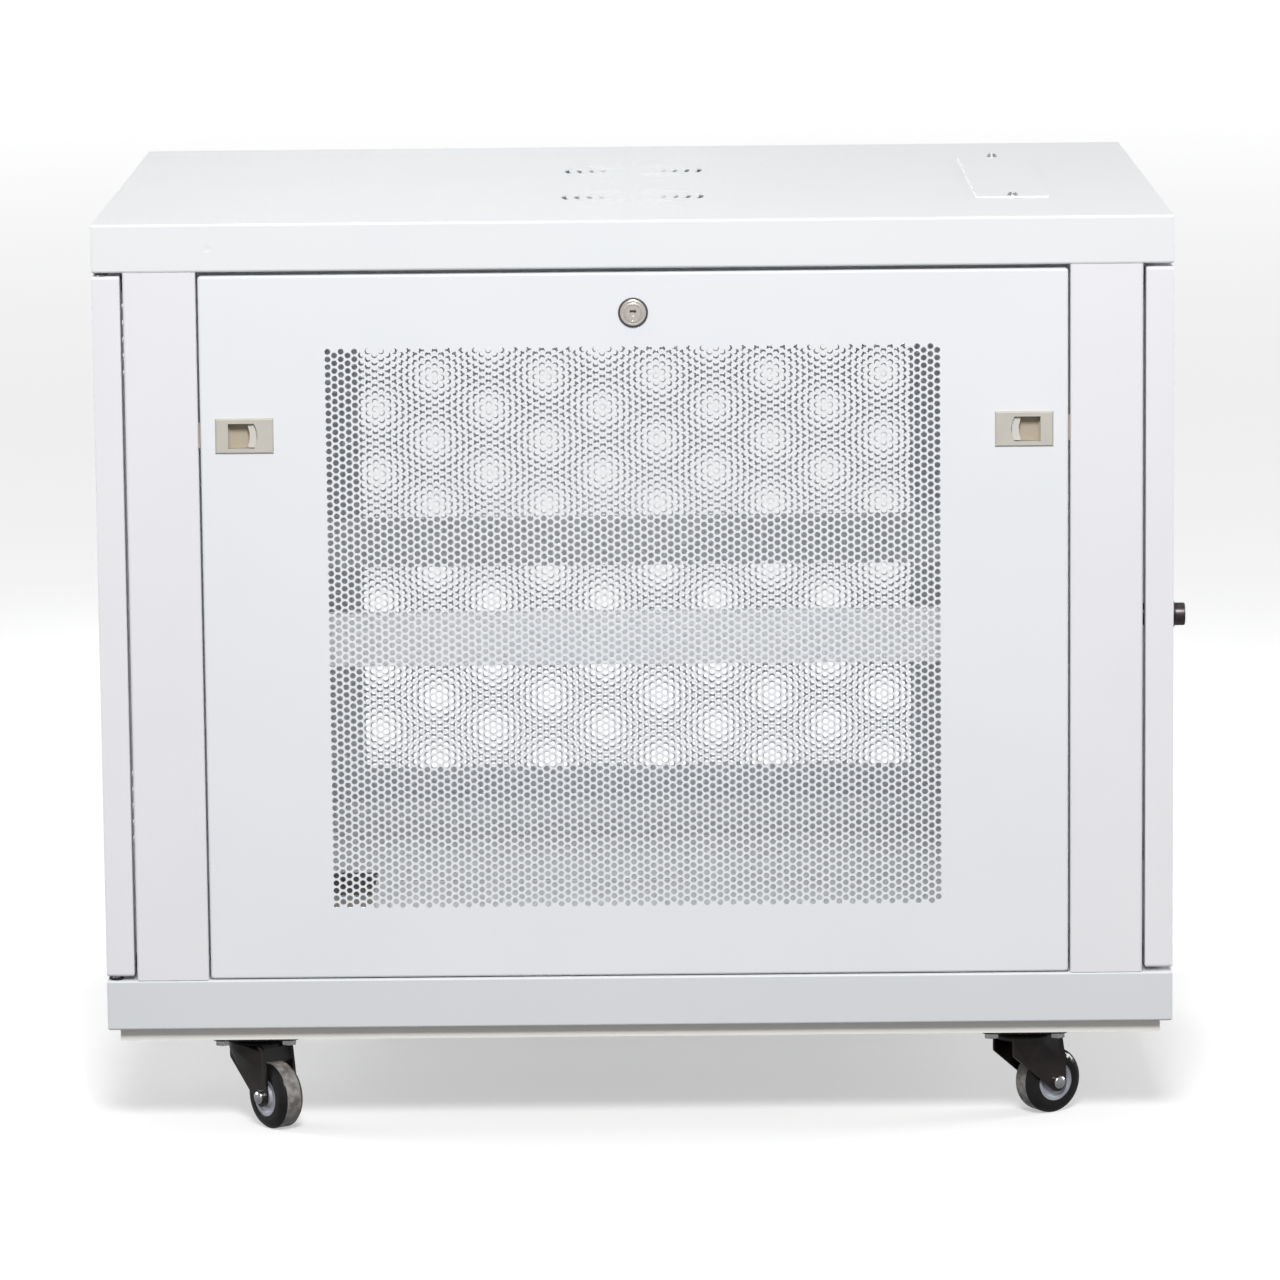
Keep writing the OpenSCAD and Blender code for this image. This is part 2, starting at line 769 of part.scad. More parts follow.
module front_door_frame()
    color(white)
    on_front()
    difference() {
        door_tray();
        translate([0, (door_z0 + door_z1) / 2, -panel_t - eps])
            linear_extrude(panel_t + 2 * eps)
                rounded_rect([door_w - 2 * door_border, door_h - 2 * door_border_v], 6);
    }

module front_door_seal()
    color(black)
    on_front()
        translate([0, (door_z0 + door_z1) / 2, -panel_t - seal_t])
            linear_extrude(seal_t)
                difference() {
                    square([glass_w, glass_h], center = true);
                    square([glass_w - 2 * seal_w, glass_h - 2 * seal_w], center = true);
                }

module front_door_glass()
    color([0.35, 0.38, 0.4, 0.4])
    on_front()
        translate([0, (door_z0 + door_z1) / 2, -panel_t - seal_t - glass_t])
            linear_extrude(glass_t)
                square([glass_w, glass_h], center = true);

module rear_door_panel()
    color(white)
    on_rear()
    difference() {
        door_tray();
        for (z = [-1, 1], i = [-3 : 3], j = [-2 : 2])
            translate([i * rear_vent_pitch[0] * 0.95, z_mid + z * 185 + j * rear_vent_pitch[1], -2 * panel_t])
                linear_extrude(4 * panel_t) slot(rear_vent_size[0], rear_vent_size[1], $fn = 24);
    }

module hinge_pins()
    for (up = [0, 1])
        translate([hinge_u, up ? door_z1 : door_z0, -hinge_depth])
            rotate([up ? -90 : 90, 0, 0])
                translate([0, 0, -10]) cylinder(r = hinge_pin_r, h = hinge_pin_l);

module front_hinge_pins() color(zinc) on_front() hinge_pins();
module rear_hinge_pins() color(zinc) on_rear() hinge_pins();

module door_lock_body()
    color(gunmetal)
    translate([door_lock_u, z_mid, 0])
        difference() {
            union() {
                rotate_extrude()
                    polygon([[0, 0], [door_lock_r, 0], [door_lock_r, 0.8], [door_lock_r - 0.8, 1.7],
                             [door_lock_r - 2.6, 2.6], [door_knob_r, 2.8], [door_knob_r, door_knob_l - 1],
                             [door_knob_r - 0.3, door_knob_l - 0.3], [door_knob_r - 1, door_knob_l],
                             [0, door_knob_l]]);
                translate([0, 0, -door_t - 1.2]) cylinder(r = 8.4, h = door_t + 2);
                translate([0, 0, -panel_t - 4]) cylinder(r = 12, h = 4, $fn = 6);
            }
            translate([0, 0, -door_t - 3])
                cylinder(r = lock_core_r + lock_fit, h = door_t + door_knob_l + 6);
        }

module front_lock_body() on_front() door_lock_body();
module rear_lock_body() on_rear() door_lock_body();

module door_lock_cam()
    color(gunmetal)
    translate([door_lock_u, z_mid, 0])
        lock_plug(door_knob_l - 0.4, door_cam_y0, door_cam_l, door_cam_w, 90);

module front_lock_cam() on_front() door_lock_cam();
module rear_lock_cam() on_rear() door_lock_cam();

// ---------- casters ----------

module caster_plates()
    color(black)
    for (sx = [-1, 1], sy = [-1, 1])
        translate([caster_x(sx), caster_y(sy), caster_h - caster_plate[2]])
            difference() {
                union() {
                    linear_extrude(caster_plate[2])
                        rounded_rect([caster_plate[0], caster_plate[1]], caster_plate_r);
                    // Upper ball race and the king pin with its riveted end
                    rotate_extrude()
                        polygon([[kingpin_r - 0.5, 0.5], [race_r, 0.5], [race_r, -1.5], [race_r - 1, -3],
                                 [race_r - 3, -race_h + 1], [kingpin_r - 0.5, -race_h + 1]]);
                    translate([0, 0, -race_h - fork_top_t - 2]) cylinder(r = kingpin_r, h = race_h + fork_top_t + 3);
                    translate([0, 0, -race_h - fork_top_t - 3.1]) cylinder(r = 6.5, h = 2);
                }
                for (bx = [-1, 1], by = [-1, 1])
                    translate([bx * caster_bolt_d, by * caster_bolt_d, -eps])
                        cylinder(r = m6_hole_r, h = caster_plate[2] + 2 * eps);
            }

module caster_bolts()
    color(zinc)
    caster_bolt_places()
        translate([0, 0, caster_h - caster_plate[2]]) {
            bolt(m6_r, m6_head_r, 4, 12);
            translate([0, 0, caster_plate[2] + lower_t]) cylinder(r = m6_head_r, h = 4, $fn = 6);
        }

module caster_at(sx, sy, trail)
    translate([caster_x(sx), caster_y(sy), 0])
        rotate([0, 0, trail])
            children();

// One cheek of the fork in side view: wide at the crown, round at the axle
module fork_cheek()
    hull() {
        translate([caster_trail, wheel_z]) circle(7.5, $fn = 32);
        translate([-race_r + 4, fork_top_z - 10]) square([race_r * 2 - 4, 10]);
        translate([-race_r + 6, fork_top_z - 13]) circle(2, $fn = 16);
        translate([race_r + 1, fork_top_z - 4]) circle(4, $fn = 24);
        translate([caster_trail + 4, fork_top_z - 22]) circle(3, $fn = 16);
    }

// Shoulder where a cheek spreads out to the crown's round edge
module fork_shoulder(s)
    hull() {
        translate([0, 0, fork_top_z - fork_crown_h])
            linear_extrude(fork_crown_h)
                intersection() {
                    circle(race_r, $fn = 72);
                    translate([-race_r, s > 0 ? fork_gap / 2 : -race_r]) square([2 * race_r, race_r - fork_gap / 2]);
                }
        box(fork_foot_x, s > 0 ? [fork_gap / 2, fork_gap / 2 + fork_leg_t] : [-fork_gap / 2 - fork_leg_t, -fork_gap / 2],
            [fork_top_z - fork_foot_drop, fork_top_z - 4]);
    }

module caster_fork()
    difference() {
        union() {
            for (s = [-1, 1]) {
                translate([0, s * (fork_gap / 2 + fork_leg_t / 2), 0])
                    rotate([90, 0, 0])
                        linear_extrude(fork_leg_t, center = true) fork_cheek();
                fork_shoulder(s);
            }
            // Crown plate with its turned-down rim
            translate([0, 0, fork_top_z - fork_top_t]) cylinder(r = race_r, h = fork_top_t);
            translate([0, 0, fork_top_z - fork_top_t]) cylinder(r = race_r - 2.4, h = fork_top_t + 0.8);
        }
        translate([0, 0, fork_top_z - fork_top_t - 1]) cylinder(r = kingpin_r + axle_fit, h = fork_top_t + 3);
        translate([caster_trail, 0, wheel_z])
            rotate([90, 0, 0]) cylinder(r = axle_r, h = fork_gap + 4 * fork_leg_t, center = true);
    }

// Bolt through both cheeks, with its head on one side and a domed nut on the other
module caster_axle()
    translate([caster_trail, 0, wheel_z])
        rotate([90, 0, 0]) {
            cylinder(r = axle_r, h = fork_gap + 2 * fork_leg_t, center = true);
            for (s = [-1, 1])
                rotate([s > 0 ? 0 : 180, 0, 0])
                    translate([0, 0, fork_gap / 2 + fork_leg_t])
                        rotate_extrude()
                            polygon([[0, -1], [axle_r, -1], [axle_r, 0], [5, 0], [5, 2.4], [4.3, 3.3],
                                     [2.6, 4], [0, 4.2]]);
        }

module wheel_hub()
    translate([caster_trail, 0, wheel_z])
        rotate([90, 0, 0])
            rotate_extrude()
                polygon([[axle_r + axle_fit, -wheel_w / 2 + 0.2], [8, -wheel_w / 2 + 0.2],
                         [8.6, -wheel_w / 2 + 2.2], [rim_r - 3.6, -wheel_w / 2 + 2.2],
                         [rim_r - 2.8, -wheel_w / 2 + 0.8], [rim_r, -wheel_w / 2 + 0.8], [hub_r, -wheel_w / 2 + 3],
                         [hub_r, wheel_w / 2 - 3], [rim_r, wheel_w / 2 - 0.8], [rim_r - 2.8, wheel_w / 2 - 0.8],
                         [rim_r - 3.6, wheel_w / 2 - 2.2], [8.6, wheel_w / 2 - 2.2],
                         [8, wheel_w / 2 - 0.2], [axle_r + axle_fit, wheel_w / 2 - 0.2]]);

module wheel_tyre()
    translate([caster_trail, 0, wheel_z])
        rotate([90, 0, 0])
            rotate_extrude()
                difference() {
                    // Side walls, sloping shoulders and a flat tread
                    polygon([[rim_r, -wheel_w / 2], [wheel_d / 2 - 6.5, -wheel_w / 2], [wheel_d / 2 - 2, -8.8],
                             [wheel_d / 2, -tread_w / 2], [wheel_d / 2, tread_w / 2], [wheel_d / 2 - 2, 8.8],
                             [wheel_d / 2 - 6.5, wheel_w / 2], [rim_r, wheel_w / 2]]);
                    polygon([[0, -wheel_w], [0, wheel_w], [rim_r - 2.2, wheel_w], [rim_r, wheel_w / 2 - 0.8],
                             [hub_r, wheel_w / 2 - 3], [hub_r, -wheel_w / 2 + 3], [rim_r, -wheel_w / 2 + 0.8],
                             [rim_r - 2.2, -wheel_w]]);
                }

module fork_front_left() color(black) caster_at(-1, -1, trail_front_left) caster_fork();
module fork_front_right() color(black) caster_at(1, -1, trail_front_right) caster_fork();
module fork_rear_left() color(black) caster_at(-1, 1, trail_rear_left) caster_fork();
module fork_rear_right() color(black) caster_at(1, 1, trail_rear_right) caster_fork();
module hub_front_left() color(zinc) caster_at(-1, -1, trail_front_left) wheel_hub();
module hub_front_right() color(zinc) caster_at(1, -1, trail_front_right) wheel_hub();
module hub_rear_left() color(zinc) caster_at(-1, 1, trail_rear_left) wheel_hub();
module hub_rear_right() color(zinc) caster_at(1, 1, trail_rear_right) wheel_hub();
module tyre_front_left() color(black) caster_at(-1, -1, trail_front_left) wheel_tyre();
module tyre_front_right() color(black) caster_at(1, -1, trail_front_right) wheel_tyre();
module tyre_rear_left() color(black) caster_at(-1, 1, trail_rear_left) wheel_tyre();
module tyre_rear_right() color(black) caster_at(1, 1, trail_rear_right) wheel_tyre();
module axle_front_left() color(zinc) caster_at(-1, -1, trail_front_left) caster_axle();
module axle_front_right() color(zinc) caster_at(1, -1, trail_front_right) caster_axle();
module axle_rear_left() color(zinc) caster_at(-1, 1, trail_rear_left) caster_axle();
module axle_rear_right() color(zinc) caster_at(1, 1, trail_rear_right) caster_axle();

top_cover();
top_cable_cover();
top_cover_screws();
base_frame();
lower_frame();
floor_panel();
floor_cover_plate();
post_front_left();
post_front_right();
post_rear_left();
post_rear_right();
brace_left();
brace_right();
rail_front_left();
rail_front_right();
rail_rear_left();
rail_rear_right();
frame_bolts();
rail_bolts();
hinge_bushes();
side_panel_left();
side_panel_right();
latch_housings();
latch_slider_left_front();
latch_slider_left_rear();
latch_slider_right_front();
latch_slider_right_rear();
side_lock_body_left();
side_lock_body_right();
side_lock_cam_left();
side_lock_cam_right();
front_door_frame();
front_door_glass();
front_door_seal();
front_hinge_pins();
front_lock_body();
front_lock_cam();
rear_door_panel();
rear_hinge_pins();
rear_lock_body();
rear_lock_cam();
caster_plates();
caster_bolts();
fork_front_left();
fork_front_right();
fork_rear_left();
fork_rear_right();
hub_front_left();
hub_front_right();
hub_rear_left();
hub_rear_right();
tyre_front_left();
tyre_front_right();
tyre_rear_left();
tyre_rear_right();
axle_front_left();
axle_front_right();
axle_rear_left();
axle_rear_right();
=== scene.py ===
"""Looks of the network cabinet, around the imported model. Metres, +Z up, the front door faces -Y.

Folded sheet-metal parts are rebuilt with bend radii, the side panels get their punched holes, and the
small parts get rounded edges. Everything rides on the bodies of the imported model."""

import json
import math

import bmesh
import bpy
from mathutils import Matrix, Vector

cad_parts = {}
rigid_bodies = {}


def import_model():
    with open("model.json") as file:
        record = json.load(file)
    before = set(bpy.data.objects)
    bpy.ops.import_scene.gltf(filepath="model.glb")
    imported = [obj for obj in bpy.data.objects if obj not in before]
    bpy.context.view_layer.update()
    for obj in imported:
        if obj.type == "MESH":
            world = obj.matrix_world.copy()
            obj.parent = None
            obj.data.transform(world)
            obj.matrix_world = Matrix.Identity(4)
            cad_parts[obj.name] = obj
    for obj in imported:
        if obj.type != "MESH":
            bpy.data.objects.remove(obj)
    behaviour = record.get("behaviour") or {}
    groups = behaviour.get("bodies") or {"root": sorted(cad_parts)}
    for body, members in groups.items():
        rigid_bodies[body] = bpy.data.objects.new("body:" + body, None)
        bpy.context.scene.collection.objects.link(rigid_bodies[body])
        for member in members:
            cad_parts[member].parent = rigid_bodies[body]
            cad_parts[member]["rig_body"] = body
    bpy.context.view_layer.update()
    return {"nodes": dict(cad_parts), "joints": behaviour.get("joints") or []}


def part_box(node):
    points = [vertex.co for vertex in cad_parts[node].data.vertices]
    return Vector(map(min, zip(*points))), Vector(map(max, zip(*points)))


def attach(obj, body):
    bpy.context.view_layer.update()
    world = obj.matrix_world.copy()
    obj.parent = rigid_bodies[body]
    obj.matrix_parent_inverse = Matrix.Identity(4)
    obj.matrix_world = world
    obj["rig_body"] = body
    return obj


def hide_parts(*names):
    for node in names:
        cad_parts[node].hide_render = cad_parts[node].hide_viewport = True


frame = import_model()

MM = 0.001
SHEET = 1.5 * MM
PANEL = 1.2 * MM
BEND = 2.0 * MM
BEND_STEPS = 4
OVER = 5 * MM

# ---------- sizes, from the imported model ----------

HALF_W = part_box("base_frame")[1].x
HALF_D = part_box("base_frame")[1].y
Z_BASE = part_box("base_frame")[0].z
Z_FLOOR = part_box("floor_panel")[0].z
Z_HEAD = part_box("post_front_left")[1].z
Z_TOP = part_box("top_cover")[1].z
Z_LATCH = (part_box("latch_slider_left_front")[0].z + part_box("latch_slider_left_front")[1].z) / 2
Z_SIDE_LOCK = (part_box("side_lock_body_left")[0].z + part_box("side_lock_body_left")[1].z) / 2
Z_DOOR_LOCK = (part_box("front_lock_body")[0].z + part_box("front_lock_body")[1].z) / 2
DOOR_LOCK_X = (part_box("rear_lock_body")[0].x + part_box("rear_lock_body")[1].x) / 2
LATCH_W = 43.4 * MM
LATCH_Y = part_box("latch_housings")[1].y - LATCH_W / 2

# ---------- sizes that no packed box gives ----------

SIDE_FLANGE = 60 * MM
END_FLANGE = 23 * MM
CATCH_IN = (17.5 * MM, 19 * MM)
UPSTAND_IN = (36 * MM, 37.5 * MM)
STRIP_REACH = 321 * MM
EDGE_GAP = (250 * MM, 264 * MM)
EDGE_GAP_REACH = 298 * MM
LATCH_CUT = (-20.2 * MM, 17.2 * MM)
LATCH_CUT_HALF_H = 11.2 * MM
# The latches' tongues pass through panel and post, this deep behind the face
TONGUE_DEPTH = (4.2 * MM, 8.2 * MM)
TONGUE_HALF_H = 10.3 * MM
SIDE_LOCK_HOLE_R = 9.6 * MM
DOOR_LOCK_HOLE_R = 8.5 * MM
CAM_SLOT_HALF_W = 8.5 * MM
CAM_SLOT_BELOW = 18 * MM
CAM_SLOT_ABOVE = 34 * MM
CABLE_SLOT = (250 * MM, 36 * MM)
DIMPLE_Y = 314 * MM
DIMPLE_DOWN = 18.7 * MM
DIMPLE_R = 2.4 * MM
POST_LIP = 12 * MM
POST_END_T = 3 * MM
DOOR_RETURN = 14 * MM
GLASS_LAP = 12 * MM
VENT_SLOT = (60 * MM, 4 * MM)
VENT_SLOT_PITCH = (76 * MM, 13 * MM)
VENT_ROWS_UP = 185 * MM


# ---------- mesh tools ----------

def make(name, verts, faces, place=Matrix()):
    """A new object; its points are put in the row frame by place."""
    mesh = bpy.data.meshes.new(name)
    if place.determinant() < 0:
        faces = [tuple(reversed(f)) for f in faces]
    mesh.from_pydata([place @ Vector(v) for v in verts], [], faces)
    obj = bpy.data.objects.new(name, mesh)
    bpy.context.scene.collection.objects.link(obj)
    return obj


def apply_modifiers(obj):
    """Makes obj's modifiers part of its mesh."""
    graph = bpy.context.evaluated_depsgraph_get()
    obj.data = bpy.data.meshes.new_from_object(obj.evaluated_get(graph))
    obj.modifiers.clear()
    return obj


def join(name, *objs):
    """One object of several, which keep their own closed shells."""
    verts, faces = [], []
    for o in objs:
        start = len(verts)
        verts += [tuple(v.co) for v in o.data.vertices]
        faces += [tuple(start + i for i in p.vertices) for p in o.data.polygons]
        bpy.data.objects.remove(o)
    return make(name, verts, faces)


def cut(obj, *cutters):
    """Takes the cutters, which don't overlap each other, out of obj."""
    tool = join("cutter", *cutters)
    boolean = obj.modifiers.new("cut", "BOOLEAN")
    boolean.operation, boolean.solver, boolean.object = "DIFFERENCE", "EXACT", tool
    apply_modifiers(obj)
    bpy.data.objects.remove(tool)
    return obj


def thicken(obj, thickness):
    """Gives an open skin its sheet thickness, inwards from its faces."""
    solid = obj.modifiers.new("sheet", "SOLIDIFY")
    solid.thickness, solid.offset, solid.use_even_offset = thickness, -1, True
    return apply_modifiers(obj)


def soften(obj, width, segments=2, angle=35):
    """Rounds obj's sharp edges."""
    bevel = obj.modifiers.new("edges", "BEVEL")
    bevel.width, bevel.segments, bevel.limit_method = width, segments, "ANGLE"
    bevel.angle_limit = math.radians(angle)
    return apply_modifiers(obj)


def smooth(obj, angle=32):
    """Smooth shading on curves, with flat faces kept flat."""
    obj.data.shade_smooth()
    obj.data.set_sharp_from_angle(angle=math.radians(angle))
    normals = obj.modifiers.new("normals", "WEIGHTED_NORMAL")
    normals.keep_sharp, normals.weight = True, 100
    return obj


def finish(obj, body, material, slot, *nodes):
    """Paints obj, puts it on its body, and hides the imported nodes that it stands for."""
    obj.data.materials.clear()
    obj.data.materials.append(material)
    smooth(obj)
    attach(obj, body)
    if nodes:
        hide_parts(*nodes)
    return obj


def prism(outline, z0, z1, place=Matrix()):
    """A solid of one anticlockwise outline."""
    n = len(outline)
    verts = [(x, y, z0) for x, y in outline] + [(x, y, z1) for x, y in outline]
    faces = [tuple(reversed(range(n))), tuple(range(n, 2 * n))]
    faces += [(i, (i + 1) % n, n + (i + 1) % n, n + i) for i in range(n)]
    return make("prism", verts, faces, place)


def block(low, high, place=Matrix()):
    return prism([(low[0], low[1]), (high[0], low[1]), (high[0], high[1]), (low[0], high[1])],
                 low[2], high[2], place)


def arc(x, y, r, start, end, steps):
    """Points on an arc, angles in degrees."""
    return [(x + r * math.cos(math.radians(start + (end - start) * k / steps)),
             y + r * math.sin(math.radians(start + (end - start) * k / steps))) for k in range(steps + 1)]


def circle(x, y, r, sides=64):
    return arc(x, y, r, 0, 360 - 360 / sides, sides - 1)


def round_rect(x, y, w, h, r, steps=6):
    points = []
    for quarter, (sx, sy) in enumerate(((1, -1), (1, 1), (-1, 1), (-1, -1))):
        start = 90 * (quarter - 1)
        points += arc(x + sx * (w / 2 - r), y + sy * (h / 2 - r), r, start, start + 90, steps)
    return points


def arc_slot(x, y, r, width, middle, spread):
    """A curved slot with round ends, about the point x, y."""
    half, start, end = width / 2, middle - spread, middle + spread
    ends = [(x + r * math.cos(math.radians(a)), y + r * math.sin(math.radians(a))) for a in (start, end)]
    points = arc(x, y, r + half, start, end, 14)
    points += arc(*ends[1], half, end, end + 180, 6)[1:-1]
    points += arc(x, y, r - half, end, start, 14)
    points += arc(*ends[0], half, start + 180, start + 360, 6)[1:-1]
    return points


def top_bend(z, r):
    """From a face at z round to a wall: (inset, z) pairs."""
    angles = [math.radians(90 * k / BEND_STEPS) for k in range(BEND_STEPS + 1)]
    return [(r * (1 - math.sin(a)), z - r * (1 - math.cos(a))) for a in angles]


def bottom_bend(z, r):
    return [(inset, 2 * z - height) for inset, height in reversed(top_bend(z, r))]


def folded(name, half_x, half_y, levels, capped, place=Matrix()):
    """A folded skin: rings at (inset, z) or (inset along x, inset along y, z), from the top down."""
    corner_r = BEND + 0.3 * MM
    verts, faces = [], []
    for level in levels:
        inset_x, inset_y, z = level if len(level) == 3 else (level[0], level[0], level[1])
        r = max(corner_r - min(inset_x, inset_y), 0.3 * MM)
        verts += [(x, y, z) for x, y in round_rect(0, 0, 2 * (half_x - inset_x), 2 * (half_y - inset_y),
                                                   r, BEND_STEPS)]
    n = 4 * (BEND_STEPS + 1)
    for level in range(len(levels) - 1):
        for k in range(n):
            a, b = level * n + k, level * n + (k + 1) % n
            faces.append((a, a + n, b + n, b))
    if capped:
        faces.append(tuple(range(n)))
    return make(name, verts, faces, place)


def on_face(turn, distance):
    """The frame of an outer face seen from outside: X to the right, Y up, Z outwards."""
    return (Matrix.Rotation(math.radians(turn), 4, "Z") @ Matrix.Translation((0, -distance, 0))
            @ Matrix.Rotation(math.radians(90), 4, "X"))


def corner(sx, sy):
    """The corner +X +Y mirrored to any corner."""
    return Matrix.Diagonal((sx, sy, 1, 1))


SIDES = {"left": on_face(-90, HALF_W), "right": on_face(90, HALF_W)}
FRONT = on_face(0, HALF_D)
REAR = on_face(180, HALF_D)


# ---------- materials ----------

def node_material(name):
    """A new material with a Principled shader fed by object coordinates."""
    material = bpy.data.materials.new(name)
    material.use_nodes = True
    tree = material.node_tree
    tree.nodes.clear()
    out = tree.nodes.new("ShaderNodeOutputMaterial")
    shader = tree.nodes.new("ShaderNodeBsdfPrincipled")
    tree.links.new(shader.outputs["BSDF"], out.inputs["Surface"])
    place = tree.nodes.new("ShaderNodeTexCoord")
    return material, tree, shader, place.outputs["Object"]


def noise(tree, coords, scale, detail=3, roughness=0.5, stretch=None):
    """Noise of about scale grains a metre."""
    if stretch:
        mapping = tree.nodes.new("ShaderNodeMapping")
        mapping.inputs["Scale"].default_value = stretch
        tree.links.new(coords, mapping.inputs["Vector"])
        coords = mapping.outputs["Vector"]
    node = tree.nodes.new("ShaderNodeTexNoise")
    node.inputs["Scale"].default_value = scale
    node.inputs["Detail"].default_value = detail
    node.inputs["Roughness"].default_value = roughness
    tree.links.new(coords, node.inputs["Vector"])
    return node.outputs["Fac"]


def between(tree, factor, low, high, start=0.35, end=0.65):
    """A number that goes from low to high as factor goes from start to end."""
    node = tree.nodes.new("ShaderNodeMapRange")
    for socket, value in (("From Min", start), ("From Max", end), ("To Min", low), ("To Max", high)):
        node.inputs[socket].default_value = value
    tree.links.new(factor, node.inputs["Value"])
    return node.outputs["Result"]


def blend_colours(tree, factor, a, b):
    node = tree.nodes.new("ShaderNodeMix")
    node.data_type = "RGBA"
    node.inputs["A"].default_value = (*a, 1)
    node.inputs["B"].default_value = (*b, 1)
    tree.links.new(factor, node.inputs["Factor"])
    return node.outputs["Result"]


def relief(tree, shader, height, distance, strength=1.0):
    node = tree.nodes.new("ShaderNodeBump")
    node.inputs["Distance"].default_value = distance
    node.inputs["Strength"].default_value = strength
    tree.links.new(height, node.inputs["Height"])
    tree.links.new(node.outputs["Normal"], shader.inputs["Normal"])


def surface(name, colour, other, rough, grain, depth, patch=9, metallic=0.0, stretch=None, **sockets):
    """A material that wanders between two colours and two roughnesses, with a fine grain in relief.
    grain is in grains a metre, depth is the height of the grain in metres."""
    material, tree, shader, coords = node_material(name)
    wander = noise(tree, coords, patch, stretch=stretch)
    tint = between(tree, wander, 0.0, 1.0)
    tree.links.new(blend_colours(tree, tint, colour, other), shader.inputs["Base Color"])
    fine = noise(tree, coords, grain, 2, stretch=stretch)
    tree.links.new(between(tree, fine, *rough), shader.inputs["Roughness"])
    relief(tree, shader, fine, depth)
    shader.inputs["Metallic"].default_value = metallic
    for socket, value in sockets.items():
        shader.inputs[socket.replace("_", " ")].default_value = value
    return material


def paint(name, colour, other, rough=(0.36, 0.46)):
    """Powder coat, with its fine orange peel."""
    return surface(name, colour, other, rough, 1100, 0.03 * MM)


PANEL_PAINT = paint("panel_paint", (0.80, 0.815, 0.845), (0.815, 0.828, 0.85))
FRAME_PAINT = paint("frame_paint", (0.805, 0.80, 0.83), (0.82, 0.812, 0.838))
COVER_PAINT = paint("cover_paint", (0.80, 0.815, 0.83), (0.81, 0.82, 0.832), (0.34, 0.44))
# The base's paint is painted shade: a darker copy of the same white paint, for the less light at the base
BASE_PAINT_SHADED = paint("base_paint_shaded", (0.70, 0.715, 0.735), (0.715, 0.727, 0.745))
BRACE_PAINT = paint("brace_paint", (0.88, 0.89, 0.905), (0.89, 0.895, 0.91))
FLOOR_PAINT = paint("floor_paint", (0.78, 0.79, 0.80), (0.80, 0.80, 0.80), (0.4, 0.5))
# The skirt's paint is painted light: lighter than the panels' paint, to make up for the shade under the base
SKIRT_PAINT_LIGHTENED = paint("skirt_paint_lightened", (0.86, 0.835, 0.79), (0.88, 0.855, 0.81), (0.4, 0.5))
ZINC = surface("zinc", (0.62, 0.62, 0.63), (0.74, 0.74, 0.73), (0.24, 0.4), 900, 0.02 * MM, 160, 1.0)
BOLT_STEEL = surface("bolt_steel", (0.58, 0.58, 0.60), (0.70, 0.70, 0.72), (0.16, 0.28), 900,
                     0.01 * MM, 220, 1.0)
GUNMETAL = surface("gunmetal", (0.075, 0.065, 0.068), (0.12, 0.105, 0.108), (0.26, 0.36), 1200,
                   0.01 * MM, 220, 0.85)
BEIGE = surface("latch_plastic", (0.53, 0.505, 0.45), (0.56, 0.53, 0.475), (0.42, 0.52), 1600, 0.02 * MM, 60)
NYLON = surface("bush_nylon", (0.012, 0.012, 0.012), (0.02, 0.02, 0.02), (0.45, 0.6), 1200, 0.02 * MM)
SEAL = surface("seal_rubber", (0.012, 0.012, 0.012), (0.02, 0.02, 0.02), (0.6, 0.75), 1200, 0.02 * MM)
BLACK = surface("black_steel", (0.012, 0.008, 0.0065), (0.020, 0.014, 0.012), (0.18, 0.28), 900,
                0.012 * MM, 70, Specular_IOR_Level=0.5)
HUB = surface("hub_plastic", (0.36, 0.37, 0.41), (0.42, 0.43, 0.47), (0.28, 0.4), 900, 0.01 * MM, 90)
TYRE = surface("tyre_rubber", (0.006, 0.006, 0.006), (0.012, 0.012, 0.012), (0.16, 0.26), 1300,
               0.015 * MM, 60, Specular_IOR_Level=0.4)
# The tread's lighter, mottled grey is a painted sheen
TREAD = surface("tyre_tread", (0.13, 0.12, 0.11), (0.34, 0.325, 0.31), (0.5, 0.7), 1300, 0.04 * MM, 160)


def two_tone(name, inner, outer, distance, start, end, rough, metallic=0.0):
    """A material of two colours, from inner to outer as distance, a node output of this tree, grows."""
    material, tree, shader, coords = node_material(name)
    edge = between(tree, distance(tree, coords), 0.0, 1.0, start, end)
    tree.links.new(blend_colours(tree, edge, inner, outer), shader.inputs["Base Color"])
    fine = noise(tree, coords, 1500, 2)
    tree.links.new(between(tree, fine, *rough), shader.inputs["Roughness"])
    relief(tree, shader, fine, 0.01 * MM)
    shader.inputs["Metallic"].default_value = metallic
    return material


def vector_step(tree, operation, vector, other):
    node = tree.nodes.new("ShaderNodeVectorMath")
    node.operation = operation
    node.inputs[1].default_value = other
    tree.links.new(vector, node.inputs[0])
    return node.outputs["Value" if operation == "LENGTH" else "Vector"]


def from_lock_axis(tree, coords):
    """Distance from the side locks' common axis."""
    centred = vector_step(tree, "SUBTRACT", coords, (0, 0, Z_SIDE_LOCK))
    return vector_step(tree, "LENGTH", vector_step(tree, "MULTIPLY", centred, (0, 1, 1)), (0, 0, 0))


def from_middle(tree, coords):
    """Distance from the cabinet's middle plane, between its two sides."""
    return vector_step(tree, "LENGTH", vector_step(tree, "MULTIPLY", coords, (1, 0, 0)), (0, 0, 0))


# The side locks' rim is painted darker than the face, a painted dark reflection, and the latches' recess is
# browner than its lip
NICKEL = two_tone("nickel", (0.60, 0.56, 0.51), (0.10, 0.096, 0.105), from_lock_axis, 9.3 * MM, 9.8 * MM,
                  (0.26, 0.36), 0.35)
